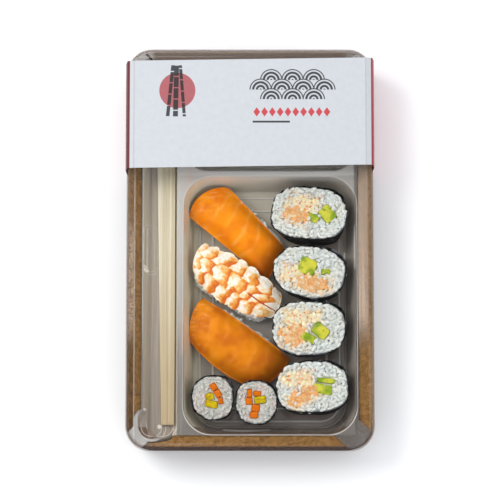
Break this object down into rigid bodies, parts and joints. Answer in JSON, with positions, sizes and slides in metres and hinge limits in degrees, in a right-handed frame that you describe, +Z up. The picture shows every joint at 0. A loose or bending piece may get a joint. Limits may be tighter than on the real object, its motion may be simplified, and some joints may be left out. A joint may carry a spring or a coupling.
{
  "type": "takeaway sushi tray",
  "caption": "Shut takeaway sushi tray: board collar, clear insert and lid, card sleeve, chopsticks, nigiri and cut rolls.",
  "frame": {"origin": "middle of the shut tray's footprint, on the surface that it stands on", "axes": "+X across the tray, +Y along it towards the sleeved end, +Z up"},
  "size_m": [0.1408, 0.228, 0.0417],
  "materials": {
    "kraft_board": "brown kraft board, matt, fine fibres",
    "grey_clear_plastic": "clear grey-tinted thermoformed sheet",
    "clear_plastic": "clear thermoformed sheet, glossy",
    "printed_card": "white coated card, red printed sides, matt",
    "pale_wood": "plain pale wood, sawn, unvarnished",
    "rice": "cooked short-grain rice, moist, slightly translucent",
    "seaweed": "toasted seaweed sheet, near black, faint sheen",
    "raw_salmon": "raw salmon with pale fat lines, moist",
    "cooked_prawn": "cooked prawn, white with orange bands, moist",
    "salmon_filling": "flaked salmon",
    "crab_filling": "soft crab mix with orange flecks",
    "avocado": "ripe avocado, green to yellow-green",
    "carrot": "raw carrot strips",
    "pickled_radish": "yellow pickled radish strips, moist"
  },
  "bodies": {
    "root": {"carton": "kraft_board", "chopsticks": "pale_wood", "insert_tray": "grey_clear_plastic", "lid": "clear_plastic", "prawn_nigiri_prawn": "cooked_prawn", "prawn_nigiri_rice": "rice", "salmon_nigiri_1_rice": "rice", "salmon_nigiri_1_salmon": "raw_salmon", "salmon_nigiri_2_rice": "rice", "salmon_nigiri_2_salmon": "raw_salmon", "sleeve": "printed_card", "thick_roll_1_avocado_a": "avocado", "thick_roll_1_avocado_b": "avocado", "thick_roll_1_crab": "crab_filling", "thick_roll_1_rice": "rice", "thick_roll_1_salmon": "salmon_filling", "thick_roll_1_seaweed": "seaweed", "thick_roll_2_avocado_a": "avocado", "thick_roll_2_avocado_b": "avocado", "thick_roll_2_crab": "crab_filling", "thick_roll_2_rice": "rice", "thick_roll_2_salmon": "salmon_filling", "thick_roll_2_seaweed": "seaweed", "thick_roll_3_avocado_a": "avocado", "thick_roll_3_avocado_b": "avocado", "thick_roll_3_crab": "crab_filling", "thick_roll_3_rice": "rice", "thick_roll_3_salmon": "salmon_filling", "thick_roll_3_seaweed": "seaweed", "thick_roll_4_avocado_a": "avocado", "thick_roll_4_avocado_b": "avocado", "thick_roll_4_crab": "crab_filling", "thick_roll_4_rice": "rice", "thick_roll_4_salmon": "salmon_filling", "thick_roll_4_seaweed": "seaweed", "thin_roll_1_carrot_a": "carrot", "thin_roll_1_carrot_b": "carrot", "thin_roll_1_carrot_c": "carrot", "thin_roll_1_radish_a": "pickled_radish", "thin_roll_1_radish_b": "pickled_radish", "thin_roll_1_rice": "rice", "thin_roll_1_seaweed": "seaweed", "thin_roll_2_carrot_a": "carrot", "thin_roll_2_carrot_b": "carrot", "thin_roll_2_carrot_c": "carrot", "thin_roll_2_carrot_d": "carrot", "thin_roll_2_carrot_e": "carrot", "thin_roll_2_radish_a": "pickled_radish", "thin_roll_2_rice": "rice", "thin_roll_2_seaweed": "seaweed"}
  },
  "joints": []
}
